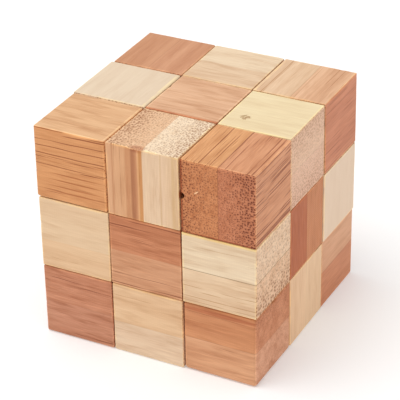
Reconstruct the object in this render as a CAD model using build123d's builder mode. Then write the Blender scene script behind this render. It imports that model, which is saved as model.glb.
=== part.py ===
"""A bamboo snake cube: 27 drilled cubelets threaded on one elastic cord.

The chain is modelled folded up into its 3 x 3 x 3 cube. Its origin is the
middle of the cube's resting face, with +Z up, the front at -Y and the right
at +X. Cubelets are numbered along the cord, from the top front right corner
to the bottom back left one. Lengths are in millimetres.
"""

import os

from build123d import *

# ---------------------------------------------------------------- dimensions
PITCH = 15.0  # between neighbouring cubelets' centres
SIDE = 14.92  # one cubelet, face to face
EDGE_RADIUS = 0.4  # sanded edges and corners

CHANNEL_RADIUS = 1.5  # drilled passages for the cord
END_HOLE_DEPTH = 10.0  # blind hole that holds one end of the cord

CORD_RADIUS = 0.75
CORD_BEND_RADIUS = 2.5  # the cord's centre line where it turns a corner
KNOT_RADIUS = 1.3
KNOT_DEPTH = 8.2  # from the end cubelet's face to the knot's centre

COLLAR_BORE_RADIUS = 0.95
COLLAR_LENGTH = 4.0
COLLAR_DEPTH = 1.2  # how far the collar sits below the end cubelet's face
COLLAR_SLIT = 1.0  # lets the collar slip on over the cord
PRESS_FIT = 0.02  # how much larger the collar's radius is than its hole's

NOTCH_LENGTH = 3.0
NOTCH_RUN_OUT = 1.0  # how far the notch's cutter runs past the cubelet

# ---------------------------------------------------------------- the chain
DIRECTION = {
    "L": Vector(-1, 0, 0),
    "R": Vector(1, 0, 0),
    "F": Vector(0, -1, 0),
    "B": Vector(0, 1, 0),
    "D": Vector(0, 0, -1),
    "U": Vector(0, 0, 1),
}
# the way from each cubelet to the next: left, right, front, back, down or up
STEPS = "BBDFFDBBL" "UUFDDFUUL" "BBDFFDBB"
FIRST_CENTRE = Vector(PITCH, -PITCH, 2 * PITCH + SIDE / 2)

# how far a cubelet has settled from its place in the grid: (right, back, up)
SETTLED = {
    1: (0.1, -0.15, 0.05),
    2: (0.06, 0, 0),
    3: (0.2, 0.15, 0.05),
    4: (0.2, 0.15, 0),
    6: (0.08, -0.04, -0.03),
    7: (0.08, -0.04, 0),
    9: (0, 0.06, 0),
    12: (-0.03, 0.06, 0.04),
    13: (0, 0.04, 0),
    16: (0, -0.06, 0),
    17: (-0.03, -0.03, 0),
    18: (-0.08, -0.08, 0.03),
    19: (-0.3, -0.04, 0.04),
    20: (-0.45, 0, 0.03),
    21: (-0.05, 0.1, 0),
    22: (-0.05, 0.1, 0),
    24: (-0.05, -0.02, 0),
    25: (-0.05, -0.02, 0),
}

# a half-round relief along an edge: (face it is cut in, end it leaves by, radius)
NOTCHES = {
    1: ("L", "F", 0.75),
    7: ("U", "R", 0.42),
}


def grid_places():
    """Each cubelet's grid place, in the cord's order."""
    places = [FIRST_CENTRE]
    for step in STEPS:
        places.append(places[-1] + DIRECTION[step] * PITCH)
    return places


def threaded_faces(number):
    """The directions in which the cord leaves cubelet number, counted from 1."""
    ways = []
    if number > 1:
        ways.append(DIRECTION[STEPS[number - 2]] * -1)
    if number <= len(STEPS):
        ways.append(DIRECTION[STEPS[number - 1]])
    return ways


def cubelet_kind(ways):
    """What a maker would call the cubelet, from the faces its cord passes."""
    if len(ways) == 1:
        return "end"
    opposite = abs(ways[0].dot(ways[1])) > 0.5
    return "straight" if opposite else "turn"


def make_cubelet(name, centre, ways, notch):
    """A sanded cube, drilled from each threaded face to just past its centre."""
    with BuildPart(Plane(centre)) as cubelet:
        Box(SIDE, SIDE, SIDE)
        fillet(cubelet.edges(), EDGE_RADIUS)
        depth = END_HOLE_DEPTH if len(ways) == 1 else SIDE / 2 + CHANNEL_RADIUS
        for way in ways:
            with BuildSketch(Plane(centre + way * (SIDE / 2), z_dir=way * -1)):
                Circle(CHANNEL_RADIUS)
            extrude(amount=depth, mode=Mode.SUBTRACT)
        if notch:
            face, end, radius = notch
            edge_middle = centre + (DIRECTION[face] + DIRECTION[end]) * (SIDE / 2)
            start = edge_middle + DIRECTION[end] * NOTCH_RUN_OUT
            with BuildSketch(Plane(start, z_dir=DIRECTION[end] * -1)):
                Circle(radius)
            extrude(amount=NOTCH_LENGTH + NOTCH_RUN_OUT, mode=Mode.SUBTRACT)
    cubelet.part.label = name
    export_step(cubelet.part, f"parts/{name}.step")


def make_collar(name, centre, way):
    """A slit wooden collar, pressed into an end hole in front of the knot."""
    mouth = centre + way * (SIDE / 2 - COLLAR_DEPTH)
    across = DIRECTION["U"] if abs(way.Z) < 0.5 else DIRECTION["R"]
    plane = Plane(mouth, x_dir=across, z_dir=way * -1)
    with BuildPart() as collar:
        with BuildSketch(plane):
            Circle(CHANNEL_RADIUS + PRESS_FIT)
            Circle(COLLAR_BORE_RADIUS, mode=Mode.SUBTRACT)
            with Locations((CHANNEL_RADIUS, 0)):
                Rectangle(2 * CHANNEL_RADIUS, COLLAR_SLIT, mode=Mode.SUBTRACT)
        extrude(amount=COLLAR_LENGTH)
    collar.part.label = name
    export_step(collar.part, f"parts/{name}.step")


def make_cord(name, places):
    """The cord, from knot to knot through every cubelet's centre."""
    start = places[0] + DIRECTION[STEPS[0]] * (SIDE / 2 - KNOT_DEPTH)
    end = places[-1] - DIRECTION[STEPS[-1]] * (SIDE / 2 - KNOT_DEPTH)
    corners = [
        place
        for place, before, after in zip(places[1:-1], STEPS, STEPS[1:])
        if before != after
    ]
    with BuildPart() as cord:
        with BuildLine() as route:
            FilletPolyline(start, *corners, end, radius=CORD_BEND_RADIUS)
        with BuildSketch(Plane(start, z_dir=DIRECTION[STEPS[0]])):
            Circle(CORD_RADIUS)
        sweep(path=route.wire())
        with Locations(start, end):
            Sphere(KNOT_RADIUS)
    cord.part.label = name
    export_step(cord.part, f"parts/{name}.step")


os.makedirs("parts", exist_ok=True)
grid = grid_places()

for number, place in enumerate(grid, start=1):
    faces = threaded_faces(number)
    centre = place + Vector(*SETTLED.get(number, (0, 0, 0)))
    kind = cubelet_kind(faces)
    make_cubelet(f"cubelet_{number:02d}_{kind}", centre, faces, NOTCHES.get(number))
    if kind == "end":
        make_collar(f"cord_collar_{number:02d}", centre, faces[0])

make_cord("elastic_cord", grid)
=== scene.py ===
"""The looks of the bamboo snake cube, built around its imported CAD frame.

Each CAD cubelet is replaced by a drilled, sanded bamboo block in the same place.
The elastic cord is replaced by one braided length for each link, stretched between
the two cubelets that it joins, and by a tied knot at either end. The two collars
keep their CAD shape. Shapes are worked out in millimetres, and turned into metres
when a mesh is made.
"""

import math
from dataclasses import dataclass

import bmesh
import bpy
from mathutils import Matrix, Vector, noise


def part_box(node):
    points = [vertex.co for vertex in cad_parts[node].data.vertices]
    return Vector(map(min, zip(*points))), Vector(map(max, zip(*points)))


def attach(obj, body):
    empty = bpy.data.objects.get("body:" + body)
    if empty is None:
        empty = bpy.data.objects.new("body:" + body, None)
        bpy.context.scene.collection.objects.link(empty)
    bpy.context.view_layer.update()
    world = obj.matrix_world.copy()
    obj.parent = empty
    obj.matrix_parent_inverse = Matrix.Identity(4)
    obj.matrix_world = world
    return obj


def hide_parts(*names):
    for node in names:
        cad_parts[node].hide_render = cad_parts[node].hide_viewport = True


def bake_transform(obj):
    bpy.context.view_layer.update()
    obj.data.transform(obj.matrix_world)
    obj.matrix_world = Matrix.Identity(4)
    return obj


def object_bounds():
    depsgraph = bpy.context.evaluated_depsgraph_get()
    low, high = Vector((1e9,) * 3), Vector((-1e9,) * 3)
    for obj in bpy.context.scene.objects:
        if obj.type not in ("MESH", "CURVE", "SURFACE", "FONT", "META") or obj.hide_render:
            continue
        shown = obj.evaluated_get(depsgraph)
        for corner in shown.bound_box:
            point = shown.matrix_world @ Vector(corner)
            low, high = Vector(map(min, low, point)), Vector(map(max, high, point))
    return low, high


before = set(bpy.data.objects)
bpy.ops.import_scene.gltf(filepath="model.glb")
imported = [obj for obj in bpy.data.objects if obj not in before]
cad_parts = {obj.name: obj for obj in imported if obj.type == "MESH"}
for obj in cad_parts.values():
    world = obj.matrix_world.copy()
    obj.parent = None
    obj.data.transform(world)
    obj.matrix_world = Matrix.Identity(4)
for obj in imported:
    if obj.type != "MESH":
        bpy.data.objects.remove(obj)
cad_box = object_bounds()

MM = 0.001
X, Y, Z = Vector((1, 0, 0)), Vector((0, 1, 0)), Vector((0, 0, 1))
AXES = {"x": X, "y": Y, "z": Z}

# -------------------- block dimensions
EDGE_STEPS = 4  # rows of faces across half of a rounded edge
CHANNEL_RADIUS = 1.5
END_HOLE_DEPTH = 9.4
END_HOLE_POINT = 0.6  # the drill point's mark beyond that depth
# grid lines on a face, from its middle to where its rounded edge starts
MOUTH_LINES = [0, 0.35, 0.7, 1.05, 1.4, 1.8, 2.3]
FACE_LINES = [3.0, 3.7, 4.4, 5.1, 5.7, 6.3]
MOUTH_RING = 3  # grid line that becomes the channel's mouth
FACE_RING = 6  # grid line from which the face is a plain square grid again
RING_SPREAD = 0.25  # between the circles from the one to the other
MOUTH_EASING = 0.14  # how much wider a channel is at its sanded mouth
EASED_RINGS = [(0.05, 0.05), (0.16, 0.0)]  # the next rings: (depth, how much wider)
# the rings further down, by their distance from the block's middle
BLIND_RINGS = [5.0, 2.0, 0.0]
STRAIGHT_RINGS = [4.5, 1.5]
TURN_RINGS = [4.5, 2.4]

EDGE_WEAR = 0.04  # how far sanding has eaten into the edges
WEAR_REACH = 0.4  # how far on to the faces it goes
WEAR_WAVES = 0.55  # per millimetre
CHIP_DEPTH = 0.12
CHIP_WAVES = 0.9
CHIP_NOISE = (0.5, 0.75)  # the noise values at which a chip starts and is full
DISHING = 0.02  # how far a face dips in its middle
MOST_TILT = math.radians(0.25)
WEAR_SEEDS = (7.31, 3.17, 5.71)  # give each cubelet its own wear
TURN_SEEDS = (1.7, 3.3, 0.5)  # and its own misalignment

# a half-round relief at the middle of an edge: (face, end it leaves by, radius)
NOTCHES = {1: ("-x", "-y", 0.75), 7: ("+z", "+x", 0.42)}
NOTCH_LENGTH = 3.0
NOTCH_FADE = 0.8  # the last part of it, over which it runs out
NOTCH_REACH = 2.4  # how deep under the face the grid gives way to a notch

# blocks sawn a little wider than the rest: (side that lies further out, by how much)
OVERSIZE = {
    3: ("-x", 0.2),
    6: ("-x", 0.12),
    7: ("-x", 0.08),
    19: ("+x", 0.18),
    20: ("+x", 0.4),
}

# the splinter lost from the upper middle cubelet's top front edge
SPLINTER_STARTS = (-3.2, -2.4)  # along the edge: where it begins, and is full
SPLINTER_ENDS = (0.0, 0.6)  # where it is last full, and ends
SPLINTER_BACK = (0.6, 1.5)  # the same, from the front face backwards
SPLINTER_DEPTH = 0.22
SPLINTER_LAYER = 1.0  # how far below the top points still move

# -------------------- cord dimensions
CORD_RADIUS = 0.7
CORD_BEND = 2.5  # radius of its middle line where it turns a corner
CORD_SIDES = 24
CORD_STEP = 0.22  # between its rings of points
BRAID_HEIGHT = 0.03
BRAID_STRANDS = 8
BRAID_TURN = 2.1  # radians a strand turns in a millimetre
THREADS = 12  # fine threads round the cord
THREAD_TURN = 9.0  # how fast the threads' pattern runs along the cord
KNOT_DEPTH = 8.2  # from the end cubelet's threaded face
KNOT_CORD_RADIUS = 0.42  # the cord is pulled thin in its knots
KNOT_SPREAD = 0.27  # scales the knot's loops
KNOT_HEIGHT = 0.45
KNOT_STEPS = 96
KNOT_OPENING = 0.25  # radians of the closed loop left out at either tail


@dataclass
class Look:
    """How one cubelet's bamboo looks: two strips, glued face to face.

    Strengths go from 0 to 1. Tints are factors on a linear colour.
    """

    grain: str  # the world axis that the fibres run along
    layers: str  # the world axis across the glue line
    low: tuple  # the sRGB tone of the strip on the axis's low side
    high: tuple  # and of the other one
    split: float = 0.0  # how far the glue line lies from the middle, in millimetres
    lines: float = 0.4  # how many thin dark lines there are
    bands: float = 0.5  # strength of broad bands
    streaks: float = 0.5  # strength of fine streaks
    pores: float = 0.7  # strength of the dots on the end grain
    skin: tuple = (1.0, 1.0)  # how much the low and the high skin crowd the bundles
    end_tint: tuple = (0.92, 0.87, 0.88)  # on the end grain
    skin_tint: tuple = (1.0, 1.0, 1.0)  # on the two outer skins
    glue: float = 0.3  # strength of the glue line
    ribs: float = 0.0  # strength of saw ribs, beyond a faint trace
    smooth: float = 0.5  # how many of the lines the skins don't show
    bundles: float = 1.9  # fibre bundles in a millimetre
    edge: float = 0.22  # radius of the sanded edges


LOOKS = {
    1: Look("y", "x", (220, 161, 110), (215, 154, 114), lines=1.0, streaks=0.8, pores=1.0,
            skin=(0.6, 1.0), end_tint=(0.845, 0.69, 0.68), smooth=0.0, glue=0.6,
            skin_tint=(1.1, 1.08, 1.08)),
    2: Look("x", "z", (233, 212, 174), (235, 217, 177), lines=0.15, bands=0.2, streaks=0.3,
            pores=0.65, end_tint=(1.0, 0.81, 0.91)),
    3: Look("y", "x", (230, 198, 164), (226, 182, 146), lines=0.7, bands=0.75,
            skin_tint=(0.9, 0.58, 0.505), smooth=0.0),
    4: Look("z", "x", (236, 208, 181), (238, 212, 185), lines=0.0, bands=0.15, streaks=0.1),
    5: Look("z", "y", (190, 107, 64), (209, 137, 90), bands=0.4, ribs=0.6),
    6: Look("x", "z", (232, 202, 167), (236, 213, 181), lines=0.5, pores=1.0, skin=(1.0, 0.1),
            end_tint=(1.02, 0.95, 0.97), glue=1.0, bundles=1.3),
    7: Look("x", "z", (221, 165, 125), (211, 146, 102), bands=0.9, streaks=0.7,
            skin=(0.2, 1.0), end_tint=(1.06, 1.06, 1.22), pores=0.25, edge=0.7),
    8: Look("z", "y", (241, 202, 162), (241, 204, 164), lines=0.25, bands=0.4, streaks=0.3),
    9: Look("y", "z", (212, 141, 101), (226, 171, 133), lines=0.2, split=0.4),
    10: Look("x", "y", (226, 192, 152), (230, 200, 160), lines=0.3),
    11: Look("z", "x", (204, 142, 102), (212, 150, 108), lines=0.6),
    12: Look("x", "y", (224, 194, 161), (232, 209, 178), lines=0.2, bands=0.4, glue=0.0,
             streaks=0.6),
    13: Look("x", "z", (224, 180, 143), (226, 182, 146), bands=0.6, streaks=0.8, glue=0.1),
    14: Look("y", "x", (228, 196, 156), (226, 190, 148), lines=0.3),
    15: Look("y", "z", (206, 142, 104), (212, 152, 110), lines=0.6),
    16: Look("x", "z", (235, 208, 178), (231, 194, 154), lines=0.2, bands=0.6, split=-0.8,
             glue=0.1, edge=0.35),
    17: Look("x", "z", (213, 157, 119), (204, 136, 97), lines=0.7, bands=0.8, glue=0.0,
             streaks=0.9),
    18: Look("z", "x", (226, 183, 145), (237, 210, 179), bands=0.2, pores=1.0,
             glue=0.1, end_tint=(0.99, 1.06, 1.13)),
    19: Look("x", "z", (218, 154, 101), (221, 157, 104), lines=0.9, skin=(0.75, 1.0), glue=0.0,
             split=-9.0, edge=0.45, smooth=1.0, streaks=0.75, skin_tint=(1.06, 1.4, 1.86)),
    20: Look("y", "z", (225, 204, 178), (226, 206, 180), lines=0.0, bands=0.2, streaks=0.2,
             edge=0.35),
    21: Look("y", "x", (205, 150, 113), (209, 154, 118), lines=0.1, bands=0.7, streaks=0.4,
             edge=0.35),
    22: Look("y", "x", (228, 196, 158), (226, 192, 152), lines=0.3),
    23: Look("z", "y", (204, 142, 104), (210, 150, 110), lines=0.6),
    24: Look("x", "z", (229, 192, 152), (229, 197, 160), lines=0.2, bands=0.4, split=-1.5,
             glue=0.0, streaks=0.35),
    25: Look("x", "z", (205, 145, 115), (204, 140, 107), lines=0.5, bands=0.7, glue=0.0,
             streaks=1.0, edge=0.35),
    26: Look("y", "x", (228, 194, 156), (224, 188, 148), lines=0.3),
    27: Look("y", "z", (204, 144, 106), (212, 150, 112), lines=0.6, pores=1.0),
}

# the upper front middle cubelet: tints across its strips, by the distance from its middle
HEART_STREAKS = [
    (-7.4, (0.99, 0.9, 0.83)),
    (-6.5, (0.97, 0.87, 0.8)),
    (-6.2, (0.76, 0.57, 0.45)),
    (-5.9, (0.93, 0.82, 0.73)),
    (-3.7, (0.93, 0.81, 0.7)),
    (-3.3, (0.8, 0.61, 0.48)),
    (-2.5, (0.82, 0.63, 0.5)),
    (-2.2, (0.57, 0.37, 0.27)),
    (-1.7, (0.61, 0.4, 0.3)),
    (-1.2, (0.78, 0.57, 0.45)),
    (-0.9, (1.03, 0.89, 0.71)),
    (-0.6, (0.8, 0.59, 0.35)),
    (-0.1, (0.82, 0.59, 0.35)),
    (0.1, (0.94, 0.89, 0.85)),
    (3.4, (0.94, 0.89, 0.85)),
    (3.7, (0.84, 0.75, 0.64)),
    (4.0, (0.94, 0.88, 0.84)),
    (5.8, (0.91, 0.84, 0.75)),
    (6.2, (0.84, 0.74, 0.57)),
    (6.5, (0.92, 0.85, 0.77)),
]


# ==================== the chain
def middle_of(node):
    """A node's middle, in millimetres."""
    low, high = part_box(node)
    return (low + high) / 2 / MM


def step_between(start, end):
    """The world direction from one cubelet's middle to the next one's."""
    gap = end - start
    biggest = max(range(3), key=lambda axis: abs(gap[axis]))
    step = Vector((0, 0, 0))
    step[biggest] = math.copysign(1, gap[biggest])
    return step


# the cubelets' node names, in the cord's order
NODES = sorted(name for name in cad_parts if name.startswith("cubelet_"))
MIDDLES = [middle_of(node) for node in NODES]
STEPS = [step_between(a, b) for a, b in zip(MIDDLES, MIDDLES[1:])]
LOW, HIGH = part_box(NODES[0])
HALF = (HIGH.x - LOW.x) / 2 / MM  # half of a cubelet's side


def threaded_ways(number):
    """The directions in which the cord leaves cubelet number, counted from 1."""
    ways = []
    if number > 1:
        ways.append(-STEPS[number - 2])
    if number <= len(STEPS):
        ways.append(STEPS[number - 1])
    return ways


# ==================== the blocks
LAST = len(MOUTH_LINES) + len(FACE_LINES) + EDGE_STEPS  # the grid line at a face's edge


def face_lines(edge, notch):
    """Grid positions from a face's middle to its edge, with even arcs at the edge.

    Round the middle of a block with a notch they follow the notch's own arc.
    """
    flat = HALF - edge
    arcs = [
        flat + edge * math.tan(math.pi / 4 * step / EDGE_STEPS) for step in range(EDGE_STEPS + 1)
    ]
    middle = MOUTH_LINES
    if notch:
        turns = [math.pi / 2 * step / (FACE_RING - 1) for step in range(FACE_RING)]
        arc = [notch[2] * math.sin(turn) for turn in turns]
        middle = arc + MOUTH_LINES[FACE_RING:]
    return middle + FACE_LINES + arcs


def clamped(point, limit):
    """The nearest point of the cube that reaches as far as limit on every side."""
    return Vector([max(-limit, min(limit, value)) for value in point])


def ring_angle(u, v):
    """The even angle round a square ring of grid points, for the point (u, v)."""
    if abs(u) >= abs(v):
        turn = math.pi / 4 * (v / abs(u))
        return turn if u > 0 else math.pi - turn
    turn = math.pi / 4 * (u / abs(v))
    return math.pi / 2 - turn if v > 0 else -math.pi / 2 + turn


def mouth_offset(u, v):
    """Where a grid point near a channel's mouth goes, so that squares turn into circles."""
    square = Vector([math.copysign(MOUTH_LINES[abs(index)], index) for index in (u, v)])
    ring = max(abs(u), abs(v))
    share = (ring - MOUTH_RING) / (FACE_RING - MOUTH_RING)
    radius = CHANNEL_RADIUS + MOUTH_EASING + RING_SPREAD * (ring - MOUTH_RING)
    angle = ring_angle(u, v)
    circle = Vector((math.cos(angle), math.sin(angle))) * radius
    return circle.lerp(square, share)


def ring_cells(ring):
    """The grid points round one square ring, in order."""
    side = range(-ring, ring)
    return (
        [(ring, v) for v in side]
        + [(-u, ring) for u in side]
        + [(-ring, -v) for v in side]
        + [(u, -ring) for u in side]
    )


class Block:
    """The mesh of one drilled cube, in world directions, from its own middle."""

    def __init__(self, ways, edge, notch):
        self.edge, self.lines = edge, face_lines(edge, notch)
        self.points, self.faces, self.index = [], [], {}
        self.mouths = {}
        self.ways = [tuple(int(value) for value in way) for way in ways]
        for axis in range(3):
            for sign in (-1, 1):
                self.add_face(axis, sign)
        self.outer = len(self.points)
        self.drill()

    def add_point(self, point):
        self.points.append(Vector(point))
        return len(self.points) - 1

    def grid_point(self, axis, sign, u, v, open_mouth):
        """The index of a grid point on one face, shared with the faces next to it."""
        key = [0, 0, 0]
        key[axis], key[(axis + 1) % 3], key[(axis + 2) % 3] = sign * LAST, u, v
        key = tuple(key)
        if key not in self.index:
            point = Vector([self.line_at(value) for value in key])
            if open_mouth and max(abs(u), abs(v)) < FACE_RING:
                point[(axis + 1) % 3], point[(axis + 2) % 3] = mouth_offset(u, v)
            core = clamped(point, HALF - self.edge)
            self.index[key] = self.add_point(core + (point - core).normalized() * self.edge)
        return self.index[key]

    def line_at(self, index):
        return math.copysign(self.lines[abs(index)], index)

    def add_face(self, axis, sign):
        way = tuple(sign if value == axis else 0 for value in range(3))
        open_mouth = way in self.ways
        for u in range(-LAST, LAST):
            for v in range(-LAST, LAST):
                inside = all(-MOUTH_RING <= value < MOUTH_RING for value in (u, v))
                if open_mouth and inside:
                    continue
                corners = [(u, v), (u + 1, v), (u + 1, v + 1), (u, v + 1)]
                cell = [self.grid_point(axis, sign, a, b, open_mouth) for a, b in corners]
                self.faces.append(cell)
        if open_mouth:
            self.mouths[way] = {
                cell: self.grid_point(axis, sign, *cell, True)
                for cell in ring_cells(MOUTH_RING)
            }

    def wall_ring(self, way, depth_of, radius):
        """A ring of points inside the channel that leaves by way."""
        axis = next(value for value in range(3) if way[value])
        ring = {}
        for u, v in ring_cells(MOUTH_RING):
            angle = ring_angle(u, v)
            point = Vector((0, 0, 0))
            point[(axis + 1) % 3] = radius * math.cos(angle)
            point[(axis + 2) % 3] = radius * math.sin(angle)
            point[axis] = way[axis] * depth_of(point)
            ring[(u, v)] = self.add_point(point)
        return ring

    def join(self, ring, other):
        cells = ring_cells(MOUTH_RING)
        for a, b in zip(cells, cells[1:] + cells[:1]):
            self.faces.append([ring[a], ring[b], other[b], other[a]])

    def wall(self, way, heights):
        """Rings from a mouth inwards. heights are measured from the block's middle."""
        rings = [self.mouths[way]]
        for depth, extra in EASED_RINGS:
            rings.append(self.wall_ring(way, lambda _: HALF - depth, CHANNEL_RADIUS + extra))
        for height in heights:
            rings.append(self.wall_ring(way, lambda _: height, CHANNEL_RADIUS))
        for ring, other in zip(rings, rings[1:]):
            self.join(ring, other)
        return rings[-1]

    def drill(self):
        if len(self.ways) == 1:
            self.drill_blind(self.ways[0])
        elif all(a == -b for a, b in zip(*self.ways)):
            self.drill_straight(*self.ways)
        else:
            self.drill_turn(*self.ways)

    def drill_blind(self, way):
        bottom = self.wall(way, [*BLIND_RINGS, HALF - END_HOLE_DEPTH])
        tip = self.add_point(Vector(way) * (HALF - END_HOLE_DEPTH - END_HOLE_POINT))
        cells = ring_cells(MOUTH_RING)
        for a, b in zip(cells, cells[1:] + cells[:1]):
            self.faces.append([bottom[a], bottom[b], tip])

    def drill_straight(self, way, other):
        self.join(self.wall(way, STRAIGHT_RINGS), self.wall(other, STRAIGHT_RINGS))

    def drill_turn(self, way, other):
        """Two channels that meet in a mitre at the block's middle."""
        axis = next(value for value in range(3) if way[value])
        across = next(value for value in range(3) if other[value])
        near = self.wall(way, TURN_RINGS)
        far = self.wall(other, TURN_RINGS)
        mitre = self.wall_ring(way, lambda point: point[across] * other[across], CHANNEL_RADIUS)
        self.join(near, mitre)
        # the same mitre ring, named by the other channel's own grid points
        swap = way[axis] * other[across]
        renamed = {}
        for (u, v), number in mitre.items():
            place = {(axis + 1) % 3: u, (axis + 2) % 3: v}
            along, side = place[across], place[3 - axis - across]
            cell = {axis: swap * along, 3 - axis - across: side}
            renamed[(cell[(across + 1) % 3], cell[(across + 2) % 3])] = number
        self.join(far, renamed)


def axis_and_sign(name):
    """('-x') -> (0, -1)."""
    return "xyz".index(name[1]), -1 if name[0] == "-" else 1


def smoothstep(low, high, value):
    share = max(0.0, min(1.0, (value - low) / (high - low)))
    return share * share * (3 - 2 * share)


def cut_notch(block, face, end, radius):
    """Moves the grid aside so that a half-round relief runs in from an edge's middle."""
    face_axis, face_sign = axis_and_sign(face)
    end_axis, end_sign = axis_and_sign(end)
    across = 3 - face_axis - end_axis
    for point in block.points[: block.outer]:
        side = point[across]
        if abs(side) >= radius:
            continue
        run = HALF - end_sign * point[end_axis]
        fade = 1 - smoothstep(NOTCH_LENGTH - NOTCH_FADE, NOTCH_LENGTH, run)
        depth = math.sqrt(radius * radius - side * side) * fade
        under = HALF - face_sign * point[face_axis]
        if depth <= 0 or under >= NOTCH_REACH:
            continue
        point[face_axis] -= face_sign * depth * (1 - under / NOTCH_REACH)


def wear(block, number):
    """Sanded, slightly eaten edges, small chips and faces that dip a little."""
    seed = Vector([number * step for step in WEAR_SEEDS])
    flat = HALF - block.edge
    for point in block.points[: block.outer]:
        second = sorted(abs(value) for value in point)[-2]
        edge = smoothstep(flat - WEAR_REACH, flat + block.edge * 0.6, second)
        rough = 0.5 + 0.5 * noise.noise(point * WEAR_WAVES + seed)
        chip = smoothstep(*CHIP_NOISE, noise.noise(point * CHIP_WAVES + seed * 2))
        dip = (1 - (second / HALF) ** 2) * DISHING
        move = edge * (EDGE_WEAR * rough + CHIP_DEPTH * chip) + dip
        point -= (point - clamped(point, flat)).normalized() * move


def chip_top_edge(block):
    """A splinter lost from the top front edge of the upper middle cubelet."""
    for point in block.points[: block.outer]:
        along = smoothstep(*SPLINTER_STARTS, point.x) * (1 - smoothstep(*SPLINTER_ENDS, point.x))
        back = 1 - smoothstep(*SPLINTER_BACK, point.y + HALF)
        if point.z > HALF - SPLINTER_LAYER:
            point.z -= SPLINTER_DEPTH * along * back


def local_axes(look):
    """Columns: across the layers, along them, and along the grain."""
    grain, layers = AXES[look.grain], AXES[look.layers]
    return Matrix((layers, grain.cross(layers), grain)).transposed()


def widen(points, side, extra):
    """Stretches the half of a block that lies towards one side."""
    axis, sign = axis_and_sign(side)
    for point in points:
        point[axis] += sign * extra * max(0.0, sign * point[axis] / HALF)


def small_turn(number):
    """A cubelet's own slight misalignment. The bottom layer lies flat, so it only yaws."""
    by_number, by_axis, rest = TURN_SEEDS
    places = [Vector((number * by_number, axis * by_axis, rest)) for axis in range(3)]
    pick = [noise.cell(place) - 0.5 for place in places]
    tilt = MOST_TILT if MIDDLES[number - 1].z > 2 * HALF else 0.0
    return (
        Matrix.Rotation(2 * MOST_TILT * pick[2], 3, "Z")
        @ Matrix.Rotation(tilt * pick[0], 3, "X")
        @ Matrix.Rotation(tilt * pick[1], 3, "Y")
    )


def new_object(name, points, faces, material):
    mesh = bpy.data.meshes.new(name)
    mesh.from_pydata(points, [], faces)
    edit = bmesh.new()
    edit.from_mesh(mesh)
    bmesh.ops.recalc_face_normals(edit, faces=edit.faces)
    edit.to_mesh(mesh)
    edit.free()
    mesh.shade_smooth()
    mesh.materials.append(material)
    piece = bpy.data.objects.new(name, mesh)
    bpy.context.scene.collection.objects.link(piece)
    return piece


def make_block(number):
    """One cubelet, in its place and riding on its body."""
    look = LOOKS[number]
    notch = NOTCHES.get(number)
    block = Block(threaded_ways(number), look.edge, notch)
    wear(block, number)
    if notch:
        cut_notch(block, *notch)
    if number == 18:
        chip_top_edge(block)
    turn = small_turn(number)
    points = [clamped(turn @ point, HALF) for point in block.points]
    if number in OVERSIZE:
        widen(points, *OVERSIZE[number])
    axes = local_axes(look)
    to_local = axes.transposed()
    points = [to_local @ point * MM for point in points]
    piece = new_object(f"block_{number:02d}", points, block.faces, bamboo(number, look))
    piece.matrix_world = Matrix.Translation(MIDDLES[number - 1] * MM) @ axes.to_4x4()
    weighted = piece.modifiers.new("flat faces", "WEIGHTED_NORMAL")
    weighted.keep_sharp = True
    node = NODES[number - 1]
    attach(piece, f"cube_{number:02d}")
    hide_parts(node)


# ==================== material nodes
def linear(colour):
    """An sRGB colour, 0 to 255, as a linear RGBA one."""
    values = [value / 255 for value in colour]
    return [v / 12.92 if v <= 0.04045 else ((v + 0.055) / 1.055) ** 2.4 for v in values] + [1.0]


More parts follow.
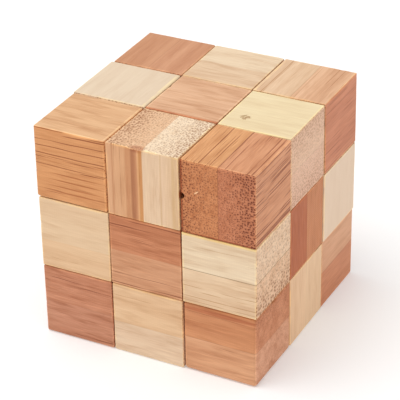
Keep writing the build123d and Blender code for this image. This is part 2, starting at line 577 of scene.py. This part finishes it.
class Tree:
    """A short way to write a material's node tree."""

    def __init__(self, name):
        self.material = bpy.data.materials.new(name)
        self.material.use_nodes = True
        self.nodes = self.material.node_tree.nodes
        self.links = self.material.node_tree.links
        self.shader = self.nodes["Principled BSDF"]

    def feed(self, socket, value):
        if isinstance(value, bpy.types.NodeSocket):
            self.links.new(value, socket)
        elif value is not None:
            socket.default_value = value

    def math(self, operation, a, b=None, c=None):
        node = self.nodes.new("ShaderNodeMath")
        node.operation = operation
        for socket, value in zip(node.inputs, (a, b, c)):
            self.feed(socket, value)
        return node.outputs[0]

    def times(self, a, b):
        return self.math("MULTIPLY", a, b)

    def vector(self, operation, a, b):
        node = self.nodes.new("ShaderNodeVectorMath")
        node.operation = operation
        self.feed(node.inputs[0], a)
        self.feed(node.inputs[1], b)
        return node.outputs["Value"] if operation == "DOT_PRODUCT" else node.outputs[0]

    def scaled(self, vector, factor):
        return self.vector("MULTIPLY", vector, (factor, factor, factor))

    def split(self, vector):
        node = self.nodes.new("ShaderNodeSeparateXYZ")
        self.feed(node.inputs[0], vector)
        return node.outputs

    def ramp(self, value, low, high, to_low=0.0, to_high=1.0):
        node = self.nodes.new("ShaderNodeMapRange")
        node.interpolation_type = "SMOOTHSTEP"
        for socket, item in zip(node.inputs, (value, low, high, to_low, to_high)):
            self.feed(socket, item)
        return node.outputs[0]

    def mix(self, share, a, b, blend="MIX"):
        node = self.nodes.new("ShaderNodeMix")
        node.data_type = "RGBA"
        node.blend_type = blend
        colours = [socket for socket in node.inputs if socket.type == "RGBA"]
        self.feed(node.inputs[0], share)
        self.feed(colours[0], a)
        self.feed(colours[1], b)
        return next(socket for socket in node.outputs if socket.type == "RGBA")

    def tint(self, share, colour, factors):
        """The colour, multiplied by the factors as far as share says."""
        return self.mix(share, colour, (*factors, 1.0), "MULTIPLY")

    def noise(self, vector, detail=2.0, roughness=0.5):
        node = self.nodes.new("ShaderNodeTexNoise")
        self.feed(node.inputs["Vector"], vector)
        node.inputs["Scale"].default_value = 1.0
        node.inputs["Detail"].default_value = detail
        node.inputs["Roughness"].default_value = roughness
        return node.outputs

    def cells(self, vector, per_mm, randomness):
        """Two-dimensional cells: the distance to the nearest centre, and its chance."""
        node = self.nodes.new("ShaderNodeTexVoronoi")
        node.voronoi_dimensions = "2D"
        self.feed(node.inputs["Vector"], vector)
        node.inputs["Scale"].default_value = per_mm
        node.inputs["Randomness"].default_value = randomness
        return node.outputs["Distance"], self.split(node.outputs["Color"])[0]

    def coordinates(self, output="Object"):
        return self.nodes.new("ShaderNodeTexCoord").outputs[output]

    def bump(self, height, distance, strength):
        node = self.nodes.new("ShaderNodeBump")
        self.feed(node.inputs["Height"], height)
        node.inputs["Distance"].default_value = distance
        node.inputs["Strength"].default_value = strength
        self.links.new(node.outputs["Normal"], self.shader.inputs["Normal"])


# -------------------- the bamboo's figure
DARK_BELOW = 195  # bamboo whose green tone stays below this counts as dark
SEED_STEPS = (13.7, 29.3, 7.9)  # moves each cubelet to its own part of every pattern
FACING = (0.6, 0.8)  # a normal's length along an axis: from turned away to facing it
WANDER_WAVES = (0.1, 0.1, 0.06)  # per millimetre, across the grain twice and along it
WANDER = 0.9  # how far the fibres wander, in millimetres
STRIP_FADE = 0.04  # half the width of the change from one strip's tone to the other's

# noise drawn out along the grain: its waves in a millimetre across the grain and along
# it, and the two noise values between which it fades in
BROAD = (0.4, 0.02, 0.36, 0.66)
PATCHY = (0.5, 0.12, 0.35, 0.65)
MIDDLING = (1.1, 0.13, 0.42, 0.64)
FINE = (5.0, 0.22, 0.3, 0.7)

LINES_PER_MM = 2.3
LINE_RADIUS = 0.36  # of the widest line, in cells of the line pattern
DOT_LEAST = -0.02  # a fibre bundle's radius, in cells of the dot pattern
DOT_CHANCE = 0.16  # how much chance adds to it
DOT_CROWDING = 0.24  # how much a crowded skin adds to it
SMALL_DOTS_PER_MM = 3.3
SPECKLE_WAVES = (4.0, 4.0, 0.6)
RIB_WAVE = 13.0  # radians of the saw ribs' wave in a millimetre
# pale rims along the edges: sanded wear, and painted highlight where the rounded edges catch the
# light; RIM_WAVES varies both
RIM = (0.45, 0.2)  # how far from an edge its pale rim starts, and is full
RIM_WAVES = 0.45  # per millimetre, of the wear along the rims

CROWDED_TINT = (0.92, 0.86, 0.82)
BROAD_TINT = (0.86, 0.78, 0.72)
MIDDLING_TINT = (0.84, 0.75, 0.68)
FINE_TINT = (0.8, 0.73, 0.66)
PALE_TINT = (1.08, 1.08, 1.06)
SPECKLE_TINT = (0.88, 0.83, 0.78)
PITH_TINT = (1.12, 1.12, 1.1)
GLUE_TINT = (0.42, 0.34, 0.28)
RIB_TINT = (0.84, 0.78, 0.74)
# the rim tints lighten the edges: sanded wear, and painted highlight
DARK_TINTS = {"line": (0.46, 0.29, 0.2), "dot": (0.36, 0.22, 0.18), "rim": (1.26, 1.36, 1.36)}
LIGHT_TINTS = {"line": (0.7, 0.56, 0.42), "dot": (0.56, 0.4, 0.32), "rim": (1.18, 1.19, 1.02)}


def end_dots(tree, pattern, crowding, bundles):
    """The fibre bundles seen end on, larger towards the skin, and the pale pith between."""
    distance, chance = tree.cells(pattern, bundles, 0.8)
    radius = tree.math("MULTIPLY_ADD", chance, DOT_CHANCE, DOT_LEAST)
    radius = tree.math("MULTIPLY_ADD", crowding, DOT_CROWDING, radius)
    beyond = tree.math("SUBTRACT", distance, radius)
    large = tree.ramp(beyond, -0.08, 0.1, 1.0, 0.0)
    between = tree.ramp(beyond, 0.2, 0.4)
    distance, chance = tree.cells(pattern, SMALL_DOTS_PER_MM, 0.9)
    small = tree.ramp(distance, 0.16, 0.36, 0.65, 0.0)
    return tree.math("MAXIMUM", large, tree.times(small, chance)), between


def side_lines(tree, pattern, crowding, strength):
    """Fibre bundles that the saw opened: thin dark lines along the grain."""
    distance, chance = tree.cells(pattern, LINES_PER_MM, 1.0)
    share = tree.times(tree.math("MULTIPLY_ADD", crowding, 0.5, 0.6), strength)
    above = tree.math("SUBTRACT", tree.math("ADD", chance, share), 1.0)
    radius = tree.times(above, LINE_RADIUS)
    return tree.ramp(tree.math("SUBTRACT", distance, radius), -0.05, 0.06, 1.0, 0.0)


class Wood:
    """One block's bamboo, with its grain along the object's own Z and its layers along X.

    It holds the sockets that the layers of the material share. Each method lays one
    of them over the colour that it is given.
    """

    def __init__(self, number, look):
        self.look = look
        self.tree = tree = Tree(f"bamboo_{number:02d}")
        self.tints = DARK_TINTS if max(look.low[1], look.high[1]) < DARK_BELOW else LIGHT_TINTS
        self.place = tree.scaled(tree.coordinates(), 1 / MM)
        self.x, self.y, self.z = tree.split(self.place)
        self.pattern = self.wandering(Vector([number * step for step in SEED_STEPS]))
        # 0 at the glue line, and as much as the look says at the two outer skins
        self.crowding = tree.math(
            "MAXIMUM",
            tree.ramp(self.x, look.split, -HALF, 0.0, look.skin[0]),
            tree.ramp(self.x, look.split, HALF, 0.0, look.skin[1]),
        )
        normal = tree.split(tree.coordinates("Normal"))
        self.end_grain = tree.ramp(tree.math("ABSOLUTE", normal[2]), *FACING)
        self.side_grain = tree.math("SUBTRACT", 1.0, self.end_grain)
        self.skin_face = tree.ramp(tree.math("ABSOLUTE", normal[0]), *FACING)
        self.high_strip = tree.ramp(self.x, look.split - STRIP_FADE, look.split + STRIP_FADE)
        self.fine = self.along_grain(FINE, detail=3.0, roughness=0.6)
        wave = tree.math("SINE", tree.times(self.z, RIB_WAVE))
        self.ribs = tree.times(wave, self.side_grain)

    def wandering(self, seed):
        """The place in every pattern, where the fibres wander a little on their way."""
        tree = self.tree
        slow = tree.vector("ADD", tree.vector("MULTIPLY", self.place, WANDER_WAVES), seed)
        drift = tree.vector("SUBTRACT", tree.noise(slow)["Color"], (0.5, 0.5, 0.5))
        return tree.vector("ADD", tree.vector("ADD", self.place, tree.scaled(drift, WANDER)), seed)

    def along_grain(self, figure, to_low=0.0, to_high=1.0, detail=2.0, roughness=0.5):
        across, along, fade_from, fade_to = figure
        stretched = self.tree.vector("MULTIPLY", self.pattern, (across, across, along))
        value = self.tree.noise(stretched, detail, roughness)["Fac"]
        return self.tree.ramp(value, fade_from, fade_to, to_low, to_high)

    def strips(self):
        """The tones of the two strips, deeper where the bundles crowd."""
        tree = self.tree
        colour = tree.mix(self.high_strip, linear(self.look.low), linear(self.look.high))
        return tree.tint(tree.times(self.crowding, 0.3), colour, CROWDED_TINT)

    def streaks(self, colour):
        """Broad bands and fine streaks, both drawn out along the grain."""
        tree, most = self.tree, self.look.streaks
        broad = tree.times(self.along_grain(BROAD), self.look.bands)
        colour = tree.tint(broad, colour, BROAD_TINT)
        patchy = self.along_grain(PATCHY, 0.3 * most, most)
        middling = tree.times(self.along_grain(MIDDLING), patchy)
        colour = tree.tint(middling, colour, MIDDLING_TINT)
        colour = tree.tint(tree.times(self.fine, patchy), colour, FINE_TINT)
        pale = tree.ramp(self.fine, 0.35, 0.05, 0.0, most)
        colour = tree.tint(pale, colour, PALE_TINT)
        return tree.tint(self.skin_face, colour, self.look.skin_tint)

    def lines(self, colour):
        """Thin dark lines along the grain. Also returns where they are."""
        tree = self.tree
        lines = side_lines(tree, self.pattern, self.crowding, self.look.lines)
        share = tree.times(lines, tree.times(self.side_grain, 0.9))
        fewer = tree.math("MULTIPLY_ADD", self.skin_face, -self.look.smooth, 1.0)
        share = tree.times(share, fewer)
        return tree.tint(share, colour, self.tints["line"]), share

    def end_face(self, colour):
        """The end grain's own tone, and the bundles on it as dots. Also returns the dots."""
        tree = self.tree
        colour = tree.tint(self.end_grain, colour, self.look.end_tint)
        speckle = tree.noise(tree.vector("MULTIPLY", self.pattern, SPECKLE_WAVES), 2.0)["Fac"]
        speckle = tree.times(tree.ramp(speckle, 0.35, 0.65), self.end_grain)
        colour = tree.tint(tree.times(speckle, 0.6), colour, SPECKLE_TINT)
        dots, between = end_dots(tree, self.pattern, self.crowding, self.look.bundles)
        strength = tree.times(self.end_grain, self.look.pores)
        colour = tree.tint(tree.times(between, strength), colour, PITH_TINT)
        share = tree.times(dots, strength)
        return tree.tint(share, colour, self.tints["dot"]), share

    def glue_line(self, colour):
        """The thin dark line between the two strips."""
        tree = self.tree
        off_line = tree.math("ABSOLUTE", tree.math("SUBTRACT", self.x, self.look.split))
        glue = tree.ramp(off_line, 0.02, 0.11, self.look.glue, 0.0)
        return tree.tint(tree.times(glue, 0.9), colour, GLUE_TINT)

    def saw_ribs(self, colour):
        """Faint ribs that a saw left across the grain of the strip on the high side."""
        tree = self.tree
        share = tree.ramp(self.ribs, -0.2, 1.0, 0.0, 0.06 + self.look.ribs)
        return tree.tint(tree.times(share, self.high_strip), colour, RIB_TINT)

    def sanded_and_highlit_edges(self, colour):
        """Paler rims: sanded wear, and painted highlight. The second largest coordinate says how
        near the next edge is.
        """
        tree = self.tree
        size = [tree.math("ABSOLUTE", value) for value in (self.x, self.y, self.z)]
        smaller = tree.math("MINIMUM", size[0], size[1])
        larger = tree.math("MAXIMUM", size[0], size[1])
        second = tree.math("MAXIMUM", smaller, tree.math("MINIMUM", larger, size[2]))
        # the rim: paler for sanded wear, and as a painted highlight on the edges
        rim = tree.ramp(second, HALF - RIM[0], HALF - RIM[1])
        wear_and_highlight_noise = tree.noise(tree.scaled(self.place, RIM_WAVES))["Fac"]
        wear_and_highlight_share = tree.ramp(wear_and_highlight_noise, 0.38, 0.6, 0.3, 1.0)
        return tree.tint(tree.times(rim, wear_and_highlight_share), colour, self.tints["rim"])

    def finish(self, colour, lines, dots):
        """The colour, and a roughness and a relief that follow the figure."""
        tree, inputs = self.tree, self.tree.shader.inputs
        tree.feed(inputs["Base Color"], colour)
        rough = tree.math("MULTIPLY_ADD", self.fine, 0.12, 0.5)
        tree.feed(inputs["Roughness"], tree.math("MULTIPLY_ADD", self.end_grain, 0.14, rough))
        inputs["Specular IOR Level"].default_value = 0.3
        pits = tree.math("ADD", lines, dots)
        height = tree.math("MULTIPLY_ADD", pits, -1.0, tree.times(self.fine, 0.4))
        height = tree.math("MULTIPLY_ADD", self.ribs, 0.15, height)
        tree.bump(height, 0.03 * MM, 0.7)


def bamboo(number, look):
    """One cubelet's material: two glued strips, and the marks that only it has."""
    wood = Wood(number, look)
    colour = wood.streaks(wood.strips())
    if number == 18:
        colour = heart_streaks(wood, colour)
    colour, lines = wood.lines(colour)
    colour, dots = wood.end_face(colour)
    colour = wood.saw_ribs(wood.glue_line(colour))
    colour = own_marks(wood.tree, number, wood.place, wood.sanded_and_highlit_edges(colour))
    wood.finish(colour, lines, dots)
    return wood.tree.material


def heart_streaks(wood, colour):
    """Tints in bands across the strips, only where the cut runs along the grain."""
    tree = wood.tree
    node = tree.nodes.new("ShaderNodeValToRGB")
    tree.feed(node.inputs[0], tree.math("MULTIPLY_ADD", wood.x, 0.5 / HALF, 0.5))
    stops = node.color_ramp.elements
    for place, factors in HEART_STREAKS[1:-1]:
        stops.new(place / HALF / 2 + 0.5).color = (*factors, 1.0)
    stops[0].color = (*HEART_STREAKS[0][1], 1.0)
    stops[-1].color = (*HEART_STREAKS[-1][1], 1.0)
    return tree.mix(wood.side_grain, colour, node.outputs["Color"], "MULTIPLY")


# -------------------- marks that only one cubelet has
WHOLE_EDGE = 60.0  # a stroke's length that doesn't fade anywhere along an edge
LOW_LINES = (-1.7, -3.0, -4.3, -5.4)  # heights on the upper left cubelet's front

# oval strokes, in the block's own directions: (middle, way, length, width, tint)
MARKS = {
    # painted shade inside the half-round relief
    1: [((-HALF, 0.0, 1.4 - HALF), Z, 3.6, 1.9, (0.7, 0.4, 0.3))],
    # a yellower top front edge
    6: [((HALF, HALF, 0.0), Z, WHOLE_EDGE, 1.1, (1.08, 1.0, 0.72))],
    # painted shade inside the half-round relief, and a darker band just below the top front edge
    7: [
        ((HALF, 0.0, HALF - 1.4), Z, 3.6, 1.2, (0.7, 0.5, 0.4)),
        ((HALF - 1.0, HALF, 0.0), Z, 22.0, 1.1, (0.8, 0.62, 0.56)),
    ],
    # painted shade in the seam along the top front edge
    13: [((HALF, HALF, 0.0), Z, WHOLE_EDGE, 1.0, (0.8, 0.52, 0.42))],
    # long dark lines low on the front
    19: [((height, HALF, 1.2), Z, 13.0, 0.34, (0.7, 0.55, 0.44)) for height in LOW_LINES],
}


def stroke(tree, place, middle, way, length, width):
    """A soft oval mask round a short mark on a face, 1 at its middle."""
    offset = tree.vector("SUBTRACT", place, middle)
    way = Vector(way).normalized()
    along = tree.vector("DOT_PRODUCT", offset, way)
    aside = tree.vector("SUBTRACT", offset, tree.vector("MULTIPLY", splat(tree, along), way))
    along = tree.times(along, tree.math("DIVIDE", along, (length / 2) ** 2))
    across = tree.vector("DOT_PRODUCT", aside, aside)
    square = tree.math("MULTIPLY_ADD", across, 1 / (width / 2) ** 2, along)
    return tree.ramp(tree.math("SQRT", square), 0.5, 1.2, 1.0, 0.0)


def splat(tree, value):
    """A number as a vector with three equal parts."""
    node = tree.nodes.new("ShaderNodeCombineXYZ")
    for socket in node.inputs:
        tree.feed(socket, value)
    return node.outputs[0]


def scratch_and_painted_seam_shade(tree, place, colour):
    """The first cubelet's pale scratch, and painted shade along its bottom and left front edges,
    in the seams there.
    """
    scratch = stroke(tree, place, (-4.3, -1.35, -HALF), (1.0, -0.8, 0.0), 1.2, 0.3)
    colour = tree.mix(scratch, colour, linear((244, 196, 150)))
    # painted shade in the seams along the bottom and left front edges
    below = stroke(tree, place, (0.0, HALF, -HALF), X, WHOLE_EDGE, 0.8)
    beside = stroke(tree, place, (-HALF, 0.0, -HALF), Y, WHOLE_EDGE, 0.9)
    return tree.tint(tree.math("MAXIMUM", below, beside), colour, (0.58, 0.34, 0.25))


def blemish(tree, place, colour):
    """A small ragged brown spot on the second cubelet's top."""
    patch = stroke(tree, place, (HALF, 3.1, -3.9), (0.0, 0.4, 1.0), 2.5, 2.3)
    torn = tree.noise(tree.scaled(place, 1.9), 4.0, 0.8)["Fac"]
    ragged = tree.ramp(tree.math("MULTIPLY_ADD", patch, 0.24, torn), 0.62, 0.78)
    spot = tree.times(ragged, tree.ramp(patch, 0.0, 0.2, 0.0, 0.9))
    return tree.tint(spot, colour, (0.46, 0.31, 0.19))


def splinter_and_painted_wall_shade(tree, place, colour):
    """The upper middle cubelet's lost splinter, and painted shade on its wall where the first
    cubelet's relief opens on to it.
    """
    splinter = stroke(tree, place, (-1.2, 0.5 - HALF, HALF), X, 3.6, 2.0)
    colour = tree.tint(tree.times(splinter, 0.8), colour, (0.66, 0.45, 0.38))
    # painted shade on the side wall seen through the first cubelet's relief
    wall_shade = stroke(tree, place, (HALF, 1.4 - HALF, 0.0), Y, 4.6, 2.4)
    wall = tree.ramp(tree.split(tree.coordinates("Normal"))[0], *FACING)
    return tree.tint(tree.times(wall_shade, wall), colour, (0.5, 0.22, 0.13))


SPECIAL_MARKS = {1: scratch_and_painted_seam_shade, 2: blemish, 18: splinter_and_painted_wall_shade}


def own_marks(tree, number, place, colour):
    for middle, way, length, width, tint in MARKS.get(number, []):
        colour = tree.tint(stroke(tree, place, middle, way, length, width), colour, tint)
    if number in SPECIAL_MARKS:
        colour = SPECIAL_MARKS[number](tree, place, colour)
    return colour


# ==================== the cord
# the darker tone is painted shade in the grooves between the threads
CORD_TONES = ((214, 208, 196), (243, 240, 231))  # between its threads, and on them


def cord_material():
    """A fine weave of threads that cross each other on their way round the cord, with painted
    shade in the grooves between them.
    """
    tree = Tree("braided_cord")
    uv = tree.split(tree.coordinates("UV"))
    round_it = tree.times(uv[0], 2 * math.pi * THREADS)
    along_it = tree.times(uv[1], THREAD_TURN)
    left = tree.math("SINE", tree.math("ADD", round_it, along_it))
    right = tree.math("SINE", tree.math("SUBTRACT", round_it, along_it))
    weave = tree.times(left, right)
    low, high = CORD_TONES
    colour = tree.mix(tree.ramp(weave, -0.5, 0.6), linear(low), linear(high))
    tree.feed(tree.shader.inputs["Base Color"], colour)
    tree.shader.inputs["Roughness"].default_value = 0.8
    tree.shader.inputs["Sheen Weight"].default_value = 0.2
    tree.bump(weave, 0.04 * MM, 0.6)
    return tree.material


def route():
    """Points along the cord, from knot to knot, and where each cubelet's middle is."""
    start = MIDDLES[0] + STEPS[0] * (HALF - KNOT_DEPTH)
    end = MIDDLES[-1] - STEPS[-1] * (HALF - KNOT_DEPTH)
    points, marks = [start], [0]
    for number in range(2, len(NODES)):
        middle, before, after = MIDDLES[number - 1], STEPS[number - 2], STEPS[number - 1]
        if before == after:
            points += straight(points[-1], middle)
            marks.append(len(points) - 1)
            continue
        points += straight(points[-1], middle - before * CORD_BEND)
        arc = bend(middle, before, after)
        marks.append(len(points) + len(arc) // 2 - 1)
        points += arc
    points += straight(points[-1], end)
    marks.append(len(points) - 1)
    return points, marks


def bend(middle, before, after):
    """An even number of points, where the cord turns from one direction to the next."""
    centre = middle + (after - before) * CORD_BEND
    count = 2 * round(math.pi / 4 * CORD_BEND / CORD_STEP)
    points = []
    for step in range(1, count + 1):
        angle = math.pi / 2 * step / count
        aside = after * CORD_BEND * math.cos(angle)
        points.append(centre - aside + before * CORD_BEND * math.sin(angle))
    return points


def straight(start, end):
    count = max(1, round((end - start).length / CORD_STEP))
    return [start.lerp(end, step / count) for step in range(1, count + 1)]


def cord_rings(points, cord_radius):
    """A ring of points round each point of the route, carried along without twist."""
    tangents = [
        (points[min(i + 1, len(points) - 1)] - points[max(i - 1, 0)]).normalized()
        for i in range(len(points))
    ]
    side = tangents[0].orthogonal().normalized()
    rings, run = [], 0.0
    for i, (point, tangent) in enumerate(zip(points, tangents)):
        if i:
            run += (point - points[i - 1]).length
        side = (side - tangent * side.dot(tangent)).normalized()
        other = tangent.cross(side)
        ring = []
        for corner in range(CORD_SIDES):
            angle = 2 * math.pi * corner / CORD_SIDES
            left = math.sin(BRAID_STRANDS / 2 * angle + BRAID_TURN * run)
            right = math.sin(BRAID_STRANDS / 2 * angle - BRAID_TURN * run)
            radius = cord_radius + BRAID_HEIGHT * max(abs(left), abs(right))
            ring.append(point + (side * math.cos(angle) + other * math.sin(angle)) * radius)
        rings.append((ring, run))
    return rings


def tube(name, rings, material):
    """A closed tube through the rings, with UVs round and along it."""
    points = [point * MM for ring, _ in rings for point in ring]
    faces, last = [], len(rings) - 1
    for row in range(last):
        start, above = row * CORD_SIDES, (row + 1) * CORD_SIDES
        for corner in range(CORD_SIDES):
            after = (corner + 1) % CORD_SIDES
            faces.append([start + corner, start + after, above + after, above + corner])
    faces.append(list(range(CORD_SIDES)))
    faces.append([last * CORD_SIDES + corner for corner in range(CORD_SIDES)])
    piece = new_object(name, points, faces, material)
    layer = piece.data.uv_layers.new(name="weave")
    for face in piece.data.polygons:
        corners = [piece.data.loops[i].vertex_index % CORD_SIDES for i in face.loop_indices]
        wraps = 0 in corners and CORD_SIDES - 1 in corners and len(corners) == 4
        for i, corner in zip(face.loop_indices, corners):
            row = piece.data.loops[i].vertex_index // CORD_SIDES
            turn = CORD_SIDES if wraps and corner == 0 else corner
            layer.data[i].uv = (turn / CORD_SIDES, rings[row][1])
    return piece


def knot_path(centre, way):
    """An overhand knot that lies across the cord, from one tail to the other."""
    side = way.orthogonal().normalized()
    other = way.cross(side)
    path = []
    for step in range(KNOT_STEPS + 1):
        turn = KNOT_OPENING + (2 * math.pi - 2 * KNOT_OPENING) * step / KNOT_STEPS
        across = side * (math.sin(turn) + 2 * math.sin(2 * turn))
        across += other * (math.cos(turn) - 2 * math.cos(2 * turn))
        path.append(centre + across * KNOT_SPREAD - way * math.sin(3 * turn) * KNOT_HEIGHT)
    return path


def make_knot(number, centre, way, material):
    """The knot that holds one end of the cord, riding with its cubelet."""
    rings = cord_rings(knot_path(centre, way), KNOT_CORD_RADIUS)
    piece = tube(f"knot_{number:02d}", rings, material)
    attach(piece, f"cube_{number:02d}")


def make_cord():
    """One length of cord for each link, stretched between the two bodies it joins."""
    material = cord_material()
    points, marks = route()
    rings = cord_rings(points, CORD_RADIUS)
    make_knot(1, points[0], STEPS[0], material)
    make_knot(len(NODES), points[-1], STEPS[-1], material)
    for link, (first, last) in enumerate(zip(marks, marks[1:]), start=1):
        piece = tube(f"cord_{link:02d}_{link + 1:02d}", rings[first : last + 1], material)
        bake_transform(piece)
        if link == 1:
            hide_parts("elastic_cord")


COLLAR_TONES = ((206, 172, 128), (236, 212, 172))
COLLAR_WAVES = (6.0, 0.5, 6.0)  # per millimetre


def finish_collars():
    """A plain turned wood on the two collars, which stay as the CAD has them."""
    tree = Tree("turned_wood")
    place = tree.scaled(tree.coordinates(), 1 / MM)
    grain = tree.noise(tree.vector("MULTIPLY", place, COLLAR_WAVES), 3.0)["Fac"]
    low, high = COLLAR_TONES
    colour = tree.mix(tree.ramp(grain, 0.3, 0.7), linear(low), linear(high))
    tree.feed(tree.shader.inputs["Base Color"], colour)
    tree.shader.inputs["Roughness"].default_value = 0.65
    tree.bump(grain, 0.02 * MM, 0.5)
    for name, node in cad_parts.items():
        if name.startswith("cord_collar_"):
            node.data.materials.clear()
            node.data.materials.append(tree.material)


# ==================== the stage
# angles in degrees, lengths in metres, and the lens in millimetres
CAMERA_AZIMUTH = 27.42
CAMERA_ELEVATION = 29.93
CAMERA_ROLL = -1.12
CAMERA_DISTANCE = 0.3583
CAMERA_LENS = 166.8
CAMERA_CLIP = 0.01
CAMERA_TARGET = Vector((-0.00013, -0.00007, 0.023))

KEY_PLACE = Vector((-0.25, -0.2, 0.85))
KEY_TARGET = Vector((0, 0, 0.02))
KEY_SIZE = 0.7
KEY_POWER = 3.8
KEY_COLOUR = (1.0, 0.995, 0.985)
WORLD_STRENGTH = 0.77

FLOOR_TONES = ((230, 230, 230), (234, 234, 234))
FLOOR_GLOW = 0.2
FLOOR_REACH = 3.0
FLOOR_GAP = 0.0001  # below the object
WHITE = (1.0, 1.0, 1.0, 1.0)


def make_camera():
    """A camera on a sphere round its target, turned a little about its own axis."""
    azimuth = math.radians(CAMERA_AZIMUTH)
    elevation = math.radians(CAMERA_ELEVATION)
    roll = math.radians(CAMERA_ROLL)
    level = math.cos(elevation)
    back = Vector((math.sin(azimuth) * level, -math.cos(azimuth) * level, math.sin(elevation)))
    right = Vector((math.cos(azimuth), math.sin(azimuth), 0))
    up = back.cross(right)
    rolled_right = right * math.cos(roll) + up * math.sin(roll)
    rolled_up = up * math.cos(roll) - right * math.sin(roll)
    camera = bpy.data.objects.new("camera", bpy.data.cameras.new("camera"))
    camera.data.lens = CAMERA_LENS
    camera.data.clip_start = CAMERA_CLIP
    turn = Matrix((rolled_right, rolled_up, back)).transposed().to_4x4()
    camera.matrix_world = Matrix.Translation(CAMERA_TARGET + back * CAMERA_DISTANCE) @ turn
    bpy.context.scene.collection.objects.link(camera)
    bpy.context.scene.camera = camera


def make_key_light():
    """One large soft lamp, above the object and a little in front of it, to the left."""
    lamp = bpy.data.lights.new("key", "AREA")
    lamp.shape = "DISK"
    lamp.size = KEY_SIZE
    lamp.energy = KEY_POWER
    lamp.color = KEY_COLOUR
    light = bpy.data.objects.new("key", lamp)
    light.location = KEY_PLACE
    light.rotation_mode = "QUATERNION"
    light.rotation_quaternion = (KEY_TARGET - KEY_PLACE).to_track_quat("-Z", "Y")
    bpy.context.scene.collection.objects.link(light)


def make_floor():
    tree = Tree("pale_floor")
    grain = tree.noise(tree.coordinates(), 30.0, 3.0)["Fac"]
    inputs = tree.shader.inputs
    tree.feed(inputs["Base Color"], tree.mix(grain, *(linear(tone) for tone in FLOOR_TONES)))
    inputs["Roughness"].default_value = 0.9
    inputs["Emission Color"].default_value = WHITE
    inputs["Emission Strength"].default_value = FLOOR_GLOW
    signs = [(-1, -1), (1, -1), (1, 1), (-1, 1)]
    corners = [Vector((x * FLOOR_REACH, y * FLOOR_REACH, 0)) for x, y in signs]
    floor = new_object("floor", corners, [[0, 1, 2, 3]], tree.material)
    floor.location.z = cad_box[0].z - FLOOR_GAP


def make_world():
    """An even white studio, with colours shown as they are."""
    world = bpy.data.worlds.new("studio")
    world.use_nodes = True
    background = world.node_tree.nodes["Background"]
    background.inputs["Color"].default_value = WHITE
    background.inputs["Strength"].default_value = WORLD_STRENGTH
    bpy.context.scene.world = world
    bpy.context.scene.view_settings.view_transform = "Standard"


for number in range(1, len(NODES) + 1):
    make_block(number)
make_cord()
finish_collars()
make_floor()
make_world()
make_key_light()
make_camera()
